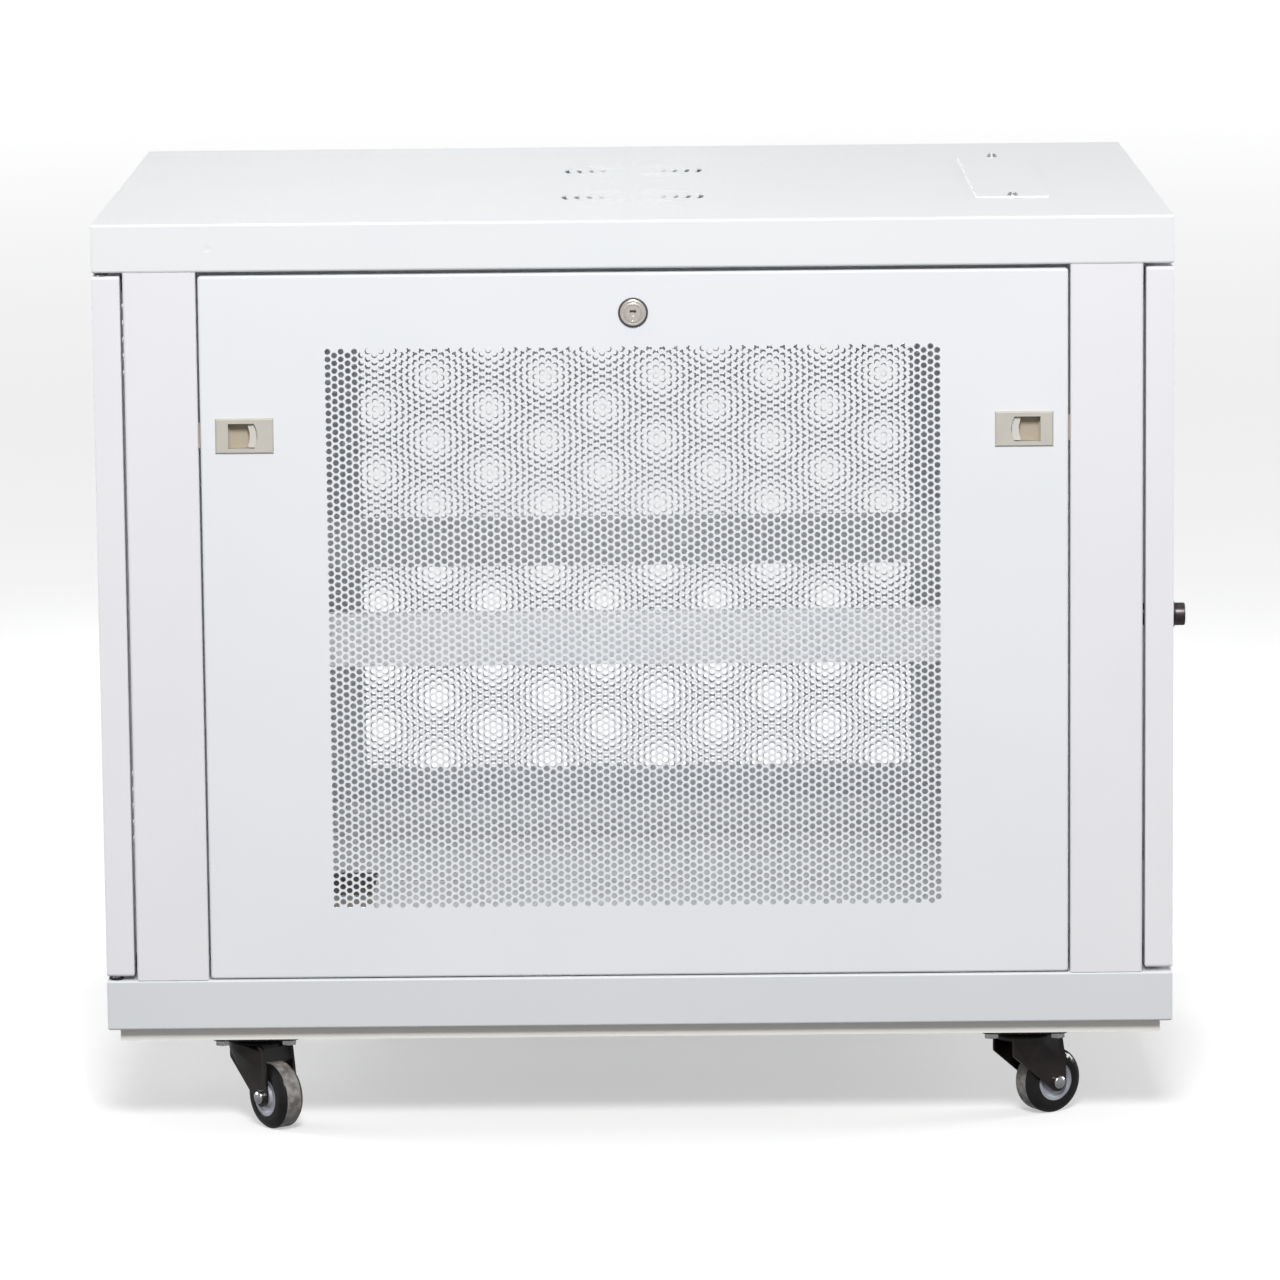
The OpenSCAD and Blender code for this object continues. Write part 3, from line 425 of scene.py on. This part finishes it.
# The recess's brown is partly the slider's own tan and partly painted shade, darker deeper in
GRIP = two_tone("latch_grip", (0.47, 0.41, 0.31), (0.64, 0.62, 0.57), from_middle, HALF_W - 5 * MM,
                HALF_W - 2.5 * MM, (0.42, 0.52))


def glass_material():
    material, tree, shader, coords = node_material("door_glass")
    shader.inputs["Base Color"].default_value = (0.30, 0.33, 0.35, 1)
    shader.inputs["Transmission Weight"].default_value = 1.0
    shader.inputs["IOR"].default_value = 1.5
    smudge = noise(tree, coords, 14, 4)
    tree.links.new(between(tree, smudge, 0.01, 0.05), shader.inputs["Roughness"])
    return material


GLASS = glass_material()


# ---------- side panels ----------

HOLE_PITCH = 5.72 * MM
COLUMN_PITCH = HOLE_PITCH * math.sin(math.radians(60))
HOLE_R = 2.23 * MM
HOLE_SIDES = 12
COLUMNS = 92
ROWS = 74
FIELD_MIDDLE = (-0.9 * MM, 384.8 * MM)
FIELD_MARGIN = 6 * MM
# How far each panel's field sits beside its drawn place, which sets how the two panels' holes line up
FIELD_SHIFT = {"left": (0.0, 0.0), "right": (1.71 * MM, -2.72 * MM)}
SLABS = ((0, 31), (31, 62), (62, 92))


def field_box(side):
    """Lower and upper corner of the field's rectangle, in the panel's own frame."""
    cu, cv = (FIELD_MIDDLE[k] + FIELD_SHIFT[side][k] for k in (0, 1))
    reach = ((COLUMNS - 1) / 2 * COLUMN_PITCH + FIELD_MARGIN, (ROWS - 1) / 2 * HOLE_PITCH + FIELD_MARGIN)
    return (cu - reach[0], cv - reach[1]), (cu + reach[0], cv + reach[1])


def perforated_slab(name, side, first, last):
    """Columns first to last of the punched field, as a closed sheet. Each hole sits in a six-sided cell.
    Cell corners have whole-number keys: a third of a column across, and half a pitch up."""
    low, high = field_box(side)
    verts, faces, at_key = [], [], {}

    def point(u, v):
        verts.append((u, v))
        return len(verts) - 1

    def keyed(key):
        if key not in at_key:
            at_key[key] = point(low[0] + FIELD_MARGIN + key[0] * COLUMN_PITCH / 3,
                                low[1] + FIELD_MARGIN + key[1] * HOLE_PITCH / 2)
        return at_key[key]

    around = ((2, 0), (1, 1), (-1, 1), (-2, 0), (-1, -1), (1, -1))
    step = 2 * math.pi / HOLE_SIDES
    for i in range(first, last):
        for j in range(ROWS - i % 2):
            kx, kz = 3 * i, 2 * j + i % 2
            u = low[0] + FIELD_MARGIN + i * COLUMN_PITCH
            v = low[1] + FIELD_MARGIN + kz * HOLE_PITCH / 2
            hole = [point(u + HOLE_R * math.cos(step * m), v + HOLE_R * math.sin(step * m))
                    for m in range(HOLE_SIDES)]
            cell = [keyed((kx + dx, kz + dz)) for dx, dz in around]
            for k in range(6):
                faces.append((cell[k], cell[(k + 1) % 6],
                              hole[(2 * k + 2) % 12], hole[2 * k + 1], hole[2 * k]))

    def open_edges():
        used = {(f[k], f[(k + 1) % len(f)]) for f in faces for k in range(len(f))}
        return [e for e in used if (e[1], e[0]) not in used]

    key_of = {index: key for key, index in at_key.items()}
    projected = {}

    def pushed(index, way):
        if (index, way) not in projected:
            u, v = verts[index]
            u = {"left": low[0], "right": high[0]}.get(way, u)
            v = {"bottom": low[1], "top": high[1]}.get(way, v)
            projected[index, way] = point(u, v)
        return projected[index, way]

    # The cells' outer edges are carried out to the field's rectangle
    top_key = 2 * (ROWS - 1)
    for a, b in sorted(open_edges()):
        if a not in key_of or b not in key_of:
            continue
        middle_x, middle_z = ((key_of[a][k] + key_of[b][k]) / 2 for k in (0, 1))
        way = ("top" if middle_z >= top_key else "bottom" if middle_z <= 0
               else "left" if middle_x < 0 else "right" if middle_x > 3 * (COLUMNS - 1) else None)
        if way:
            faces.append((b, a, pushed(a, way), pushed(b, way)))
    for across, up in (("left", "bottom"), ("right", "bottom"), ("right", "top"), ("left", "top")):
        both = [i for i, way in projected if way == across and (i, up) in projected]
        for i in both:
            end = point({"left": low[0], "right": high[0]}[across], {"bottom": low[1], "top": high[1]}[up])
            quad = (projected[i, across], i, projected[i, up], end)
            faces.append(quad if (across == "left") == (up == "top") else tuple(reversed(quad)))

    n = len(verts)
    walls = [(a, a + n, b + n, b) for a, b in sorted(open_edges())]
    back = [tuple(n + i for i in reversed(f)) for f in faces]
    points = [(u, v, 0) for u, v in verts] + [(u, v, -PANEL) for u, v in verts]
    return make(name, points, faces + back + walls, SIDES[side])


def side_panel(side):
    """The folded panel with its cut-outs, and its punched field in three sheets."""
    place = SIDES[side]
    low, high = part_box("side_panel_" + side)
    half_u, half_v, middle_v = high.y, (high.z - low.z) / 2, (high.z + low.z) / 2
    depth = high.x - low.x
    skin = folded("side_panel_" + side + "_sheet", half_u, half_v,
                  top_bend(0, 1.8 * MM) + [(0, -depth)], True,
                  place @ Matrix.Translation((0, middle_v, 0)))
    thicken(skin, PANEL)
    (u0, v0), (u1, v1) = field_box(side)
    cutters = [block((u0, v0, -OVER), (u1, v1, OVER), place),
               prism(circle(0, Z_SIDE_LOCK, SIDE_LOCK_HOLE_R), -OVER, OVER, place)]
    for s in (-1, 1):
        ends = sorted(s * (LATCH_Y + edge) for edge in LATCH_CUT)
        cutters.append(block((ends[0], Z_LATCH - LATCH_CUT_HALF_H, -OVER),
                             (ends[1], Z_LATCH + LATCH_CUT_HALF_H, OVER), place))
        ends = sorted((s * (half_u - 3 * MM), s * (half_u + 3 * MM)))
        cutters.append(block((ends[0], Z_LATCH - TONGUE_HALF_H, -TONGUE_DEPTH[1]),
                             (ends[1], Z_LATCH + TONGUE_HALF_H, -TONGUE_DEPTH[0]), place))
    cut(skin, *cutters)
    finish(skin, "cabinet", PANEL_PAINT, "white_powder_coat", "side_panel_" + side)
    for k, (first, last) in enumerate(SLABS):
        slab = perforated_slab(f"side_panel_{side}_field_{k + 1}", side, first, last)
        finish(slab, "cabinet", PANEL_PAINT, "white_powder_coat")


for side in SIDES:
    side_panel(side)


# ---------- top cover and base ----------

VENT_XS = (-124 * MM, 87 * MM)
VENT_RADII = [r * MM for r in (24, 33.5, 43, 52.5)]
VENT_WIDTH = 3.6 * MM
VENT_ARC = 18.5
VENT_MIDDLES = range(30, 360, 60)


def strips(inset, z0, z1):
    """A strip of sheet along each side, between two insets from the cabinet's sides."""
    return [soften(block((HALF_W - inset[1], -STRIP_REACH, z0), (HALF_W - inset[0], STRIP_REACH, z1),
                         corner(s, 1)), 0.4 * MM) for s in (-1, 1)]


def top_cover():
    levels = top_bend(Z_TOP, BEND) + bottom_bend(Z_HEAD, BEND) + [(SIDE_FLANGE, END_FLANGE, Z_HEAD)]
    skin = thicken(folded("top_cover_sheet", HALF_W, HALF_D, levels, True), SHEET)
    low, high = Z_TOP - OVER, Z_TOP + OVER
    cutters = [prism(arc_slot(x, 0, r, VENT_WIDTH, middle, VENT_ARC), low, high)
               for x in VENT_XS for r in VENT_RADII for middle in VENT_MIDDLES]
    cover_low, cover_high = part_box("top_cable_cover")
    cover_x, cover_y = (cover_low.x + cover_high.x) / 2, (cover_low.y + cover_high.y) / 2
    cutters.append(prism(round_rect(cover_x, cover_y, *CABLE_SLOT, CABLE_SLOT[1] / 2 - 0.1 * MM), low, high))
    cutters.append(prism(circle(DIMPLE_Y, Z_TOP - DIMPLE_DOWN, DIMPLE_R, 24), -0.4 * MM, OVER,
                         SIDES["left"] @ Matrix.Scale(-1, 4, (1, 0, 0))))
    for sx in (-1, 1):
        for sy in (-1, 1):
            cutters.append(block((HALF_W - 0.7 * MM, HALF_D - 0.7 * MM, Z_TOP - 1.2 * MM),
                                 (HALF_W + OVER, HALF_D + OVER, Z_TOP + OVER), corner(sx, sy)))
    cut(skin, *cutters)
    catch_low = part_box("top_cover")[0].z
    catches = strips(CATCH_IN, catch_low, Z_HEAD)
    finish(join("top_cover_folded", skin, *catches), "cabinet", COVER_PAINT, "white_powder_coat",
           "top_cover")


def base_frame():
    levels = ([(SIDE_FLANGE, END_FLANGE, Z_FLOOR)] + top_bend(Z_FLOOR, BEND)
              + bottom_bend(Z_BASE, BEND) + [(20 * MM, Z_BASE)])
    skin = thicken(folded("base_frame_sheet", HALF_W, HALF_D, levels, False), SHEET)
    cut(skin, *[block((EDGE_GAP[0], -EDGE_GAP_REACH, Z_FLOOR - OVER),
                      (EDGE_GAP[1], EDGE_GAP_REACH, Z_FLOOR + OVER), corner(s, 1)) for s in (-1, 1)])
    upstand_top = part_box("base_frame")[1].z
    upstands = strips(UPSTAND_IN, Z_FLOOR - SHEET, upstand_top)
    finish(join("base_frame_folded", skin, *upstands), "cabinet", BASE_PAINT_SHADED, "white_powder_coat",
           "base_frame")


top_cover()
base_frame()


# ---------- posts ----------

def with_bends(points, r):
    """A path with square corners turned into arcs of radius r."""
    out = [Vector(points[0])]
    for before, here, after in zip(points, points[1:], points[2:]):
        here = Vector(here)
        back, on = (Vector(before) - here).normalized(), (Vector(after) - here).normalized()
        centre = here + (back + on) * r
        for k in range(BEND_STEPS + 1):
            a = math.radians(90 * k / BEND_STEPS)
            out.append(centre - on * r * math.cos(a) - back * r * math.sin(a))
    return out + [Vector(points[-1])]


def corner_post(node, sx, sy, has_cam_slot):
    place = corner(sx, sy)
    low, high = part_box(node)
    x0, x1 = sorted((abs(low.x), abs(high.x)))
    y0, y1 = sorted((abs(low.y), abs(high.y)))
    path = with_bends([(x0, y0 + POST_LIP), (x0, y0), (x1, y0), (x1, y1), (x0, y1), (x0, y1 - POST_LIP)],
                      BEND)
    n = len(path)
    verts = [(*p, Z_FLOOR) for p in path] + [(*p, Z_HEAD) for p in path]
    faces = [(i, i + 1, i + 1 + n, i + n) for i in range(n - 1)]
    skin = thicken(make(node + "_sheet", verts, faces, place), SHEET)
    cutters = [block((x1 - TONGUE_DEPTH[1], y0 - OVER, Z_LATCH - TONGUE_HALF_H),
                     (x1 - TONGUE_DEPTH[0], y0 + OVER, Z_LATCH + TONGUE_HALF_H), place)]
    if has_cam_slot:
        cutters.append(block((DOOR_LOCK_X - CAM_SLOT_HALF_W, y1 - OVER, Z_DOOR_LOCK - CAM_SLOT_BELOW),
                             (DOOR_LOCK_X + CAM_SLOT_HALF_W, y1 + OVER, Z_DOOR_LOCK + CAM_SLOT_ABOVE),
                             place))
    cut(skin, *cutters)
    inside = SHEET + 0.1 * MM
    ends = [soften(block((x0 + inside, y0 + inside, z), (x1 - inside, y1 - inside, z + POST_END_T), place),
                   0.4 * MM) for z in (Z_FLOOR, Z_HEAD - POST_END_T)]
    finish(join(node + "_folded", skin, *ends), "cabinet", FRAME_PAINT, "white_powder_coat", node)


for end, sy in (("front", -1), ("rear", 1)):
    for side, sx in (("left", -1), ("right", 1)):
        corner_post(f"post_{end}_{side}", sx, sy, (end, side) in (("front", "left"), ("rear", "right")))


# ---------- doors ----------

def door_tray(name, node, place):
    """The folded door, still whole, and its middle height."""
    low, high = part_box(node)
    depth = high.y - low.y
    middle = (low.z + high.z) / 2
    levels = top_bend(0, 1.6 * MM) + bottom_bend(-depth, 1.6 * MM) + [(DOOR_RETURN, -depth)]
    skin = folded(name, high.x, (high.z - low.z) / 2, levels, True,
                  place @ Matrix.Translation((0, middle, 0)))
    return thicken(skin, PANEL), middle


def lock_hole(place):
    return prism(circle(-DOOR_LOCK_X, Z_DOOR_LOCK, DOOR_LOCK_HOLE_R), -OVER, OVER, place)


def front_door():
    skin, middle = door_tray("front_door_folded", "front_door_frame", FRONT)
    glass_low, glass_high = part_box("front_door_glass")
    window = round_rect(0, middle, glass_high.x - glass_low.x - 2 * GLASS_LAP,
                        glass_high.z - glass_low.z - 2 * GLASS_LAP, 6 * MM)
    cut(skin, prism(window, -OVER, OVER, FRONT), lock_hole(FRONT))
    finish(skin, "front_door", FRAME_PAINT, "white_powder_coat", "front_door_frame")


def rear_door():
    skin, middle = door_tray("rear_door_folded", "rear_door_panel", REAR)
    across, up = VENT_SLOT_PITCH
    centre = middle - 0.25 * MM
    slots = [prism(round_rect(i * across, centre + half * VENT_ROWS_UP + j * up, *VENT_SLOT, 1.95 * MM),
                   -OVER, OVER, REAR)
             for half in (-1, 1) for i in range(-3, 4) for j in range(-2, 3)]
    cut(skin, lock_hole(REAR), *slots)
    finish(skin, "rear_door", FRAME_PAINT, "white_powder_coat", "rear_door_panel")


front_door()
rear_door()


# ---------- small parts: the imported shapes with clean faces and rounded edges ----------

def refined(node, material, slot, edge, segments=2):
    """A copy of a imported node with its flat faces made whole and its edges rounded."""
    source = frame["nodes"][node]
    mesh = bmesh.new()
    mesh.from_mesh(source.data)
    bmesh.ops.remove_doubles(mesh, verts=mesh.verts, dist=0.002 * MM)
    bmesh.ops.dissolve_limit(mesh, angle_limit=math.radians(0.6), verts=mesh.verts, edges=mesh.edges)
    mesh.verts.ensure_lookup_table()
    verts = [tuple(v.co) for v in mesh.verts]
    faces = [tuple(v.index for v in f.verts) for f in mesh.faces]
    mesh.free()
    obj = make(node + "_part", verts, faces)
    if edge:
        soften(obj, edge, segments)
    return finish(obj, source["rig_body"], material, slot, node)


def paint_node(node, material):
    """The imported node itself, with its material."""
    obj = frame["nodes"][node]
    obj.data.materials.clear()
    obj.data.materials.append(material)


SMALL_PARTS = {
    "top_cable_cover": (COVER_PAINT, "white_powder_coat", 0.1),
    "top_cover_screws": (ZINC, "zinc_plate", 0.15),
    "lower_frame": (SKIRT_PAINT_LIGHTENED, "grey_powder_coat", 0.5),
    "brace_left": (BRACE_PAINT, "white_powder_coat", 0.6),
    "brace_right": (BRACE_PAINT, "white_powder_coat", 0.6),
    "floor_cover_plate": (FLOOR_PAINT, "white_powder_coat", 0.3),
    "latch_housings": (BEIGE, "latch_plastic", 0.4),
    "side_lock_body_left": (NICKEL, "lock_nickel", 0.2),
    "side_lock_body_right": (NICKEL, "lock_nickel", 0.2),
    "side_lock_cam_left": (NICKEL, "lock_nickel", 0.2),
    "side_lock_cam_right": (NICKEL, "lock_nickel", 0.2),
    "front_lock_body": (GUNMETAL, "lock_gunmetal", 0.25),
    "front_lock_cam": (GUNMETAL, "lock_gunmetal", 0.25),
    "rear_lock_body": (GUNMETAL, "lock_gunmetal", 0.25),
    "rear_lock_cam": (GUNMETAL, "lock_gunmetal", 0.25),
    "caster_plates": (BLACK, "black_steel", 0.4),
    "caster_bolts": (BOLT_STEEL, "zinc_plate", 0.5),
}
for wheel in ("front_left", "front_right", "rear_left", "rear_right"):
    end, side = wheel.split("_")
    SMALL_PARTS[f"latch_slider_{side}_{end}"] = (GRIP, "latch_plastic", 0.25)
    SMALL_PARTS["fork_" + wheel] = (BLACK, "black_steel", 0.5)
    SMALL_PARTS["hub_" + wheel] = (HUB, "hub_plastic", 0.3)
    SMALL_PARTS["tyre_" + wheel] = (TYRE, "tyre_rubber", 0.3)
    SMALL_PARTS["axle_" + wheel] = (BOLT_STEEL, "zinc_plate", 0.3)


# The flat of the tread lies farther from the axle than this
TREAD_FROM = 24.6 * MM


def painted_tread_sheen(tyre, spin):
    """Gives the flat of the tread its own lighter material, a painted sheen."""
    centre, axis = Vector(spin["pos_m"]), Vector(spin["axis"])
    tyre.data.materials.append(TREAD)
    for face in tyre.data.polygons:
        out = face.center - centre
        out -= out.dot(axis) * axis
        if out.length > TREAD_FROM and abs(face.normal.dot(axis)) < 0.1:
            face.material_index = 1


SPINS = {joint["child"]: joint for joint in frame["joints"]}
for node, (material, slot, edge) in SMALL_PARTS.items():
    part = refined(node, material, slot, edge * MM)
    if node.startswith("tyre_"):
        painted_tread_sheen(part, SPINS[node.replace("tyre_", "wheel_")])

PAINTED_NODES = {
    "floor_panel": FLOOR_PAINT, "rail_front_left": ZINC, "rail_front_right": ZINC, "rail_rear_left": ZINC,
    "rail_rear_right": ZINC, "frame_bolts": ZINC, "rail_bolts": ZINC, "hinge_bushes": NYLON,
    "front_door_glass": GLASS, "front_door_seal": SEAL, "front_hinge_pins": ZINC, "rear_hinge_pins": ZINC,
}
for node, material in PAINTED_NODES.items():
    paint_node(node, material)


# ---------- studio ----------

FLOOR_R = 40
WALL_R = 39
WALL_H = 6


def studio_floor():
    points = circle(0, 0, FLOOR_R, 128)
    floor = make("studio_floor", [(x, y, 0) for x, y in points], [tuple(range(len(points)))])
    material, tree, shader, coords = node_material("studio_white")
    grain = noise(tree, coords, 3)
    tree.links.new(blend_colours(tree, grain, (0.60, 0.60, 0.60), (0.61, 0.61, 0.61)),
                   shader.inputs["Base Color"])
    shader.inputs["Roughness"].default_value = 0.9
    shader.inputs["Specular IOR Level"].default_value = 0.0
    shader.inputs["Emission Color"].default_value = (1, 1, 1, 1)
    # The paper glows a little more far off, where the lamps don't reach
    distance = vector_step(tree, "LENGTH", coords, (0, 0, 0))
    tree.links.new(between(tree, distance, 0.42, 0.84, 1.5, 10.0), shader.inputs["Emission Strength"])
    floor.data.materials.append(material)
    backdrop(floor)
    return material


def backdrop(obj):
    """Seen, and shaded by the cabinet, but not a lamp: its glow stays off the cabinet."""
    obj.visible_diffuse = obj.visible_glossy = False


def studio_wall(material):
    """A far round wall, so the horizon is as pale as the floor."""
    ring = circle(0, 0, WALL_R, 128)
    n = len(ring)
    verts = [(x, y, z) for z in (0, WALL_H) for x, y in ring]
    wall = make("studio_wall", verts, [((i + 1) % n, i, i + n, (i + 1) % n + n) for i in range(n)])
    wall.data.materials.append(material)
    backdrop(wall)


def softbox(name, place, aim, size, power, spread=180, seen=True, mirrored=True):
    """A soft lamp, size across and along in metres, power in watts."""
    data = bpy.data.lights.new(name, "AREA")
    data.shape, data.energy = "ELLIPSE", power
    data.size, data.size_y = size
    data.spread = math.radians(spread)
    lamp = bpy.data.objects.new(name, data)
    bpy.context.scene.collection.objects.link(lamp)
    lamp.location = place
    lamp.rotation_euler = (Vector(aim) - Vector(place)).to_track_quat("-Z", "Y").to_euler()
    lamp.visible_camera, lamp.visible_glossy = seen, mirrored


def room_light(below, above):
    """A dim even room, darker below the horizon."""
    world = bpy.data.worlds.new("room")
    bpy.context.scene.world = world
    world.use_nodes = True
    tree = world.node_tree
    background = tree.nodes["Background"]
    background.inputs["Color"].default_value = (0.985, 0.99, 1.0, 1)
    place = tree.nodes.new("ShaderNodeTexCoord")
    split = tree.nodes.new("ShaderNodeSeparateXYZ")
    tree.links.new(place.outputs["Generated"], split.inputs["Vector"])
    tree.links.new(between(tree, split.outputs["Z"], below, above, -0.5, 0.0), background.inputs["Strength"])


CAMERA_PLACE = (-5.3218, -0.0168, 1.1964)
CAMERA_ANGLES = (0.160, 9.283, 0.566)
CAMERA_LENS = 192.27


def camera():
    """Seen from a few steps off the cabinet's left side, from a little above its top."""
    yaw, pitch, roll = (math.radians(a) for a in CAMERA_ANGLES)
    ahead = Vector((math.cos(pitch) * math.cos(yaw), math.cos(pitch) * math.sin(yaw), -math.sin(pitch)))
    level = ahead.cross(Vector((0, 0, 1))).normalized()
    upward = level.cross(ahead)
    right = level * math.cos(roll) - upward * math.sin(roll)
    up = upward * math.cos(roll) + level * math.sin(roll)
    data = bpy.data.cameras.new("camera")
    data.sensor_width, data.lens = 36, CAMERA_LENS
    data.clip_start, data.clip_end = 0.05, 200
    cam = bpy.data.objects.new("camera", data)
    bpy.context.scene.collection.objects.link(cam)
    cam.matrix_world = Matrix.Translation(CAMERA_PLACE) @ Matrix(
        (right, up, -ahead)).transposed().to_4x4()
    bpy.context.scene.camera = cam


studio_wall(studio_floor())
room_light(0.25, 0.38)
softbox("key", (-3.4, -0.1, 2.9), (-0.2, 0, 0.45), (1.1, 1.1), 140)
softbox("overhead", (0.0, 0.1, 2.7), (0, 0, 0.6), (1.4, 1.4), 7)
softbox("front_fill", (0.7, -3.4, 1.1), (0, -0.4, 0.4), (1.2, 1.2), 60, seen=False)
softbox("rear_fill", (0.7, 3.4, 1.1), (0, 0.4, 0.4), (1.2, 1.2), 60, seen=False)
softbox("right_fill", (3.4, 0.3, 1.3), (0.3, 0, 0.55), (0.8, 0.8), 10, spread=70, seen=False,
        mirrored=False)
softbox("inside_fill", (0, 0, Z_HEAD - 12 * MM), (0, 0, 0.1), (0.40, 0.66), 0.26, spread=130,
        seen=False)
camera()
bpy.context.scene.view_settings.view_transform = "Standard"
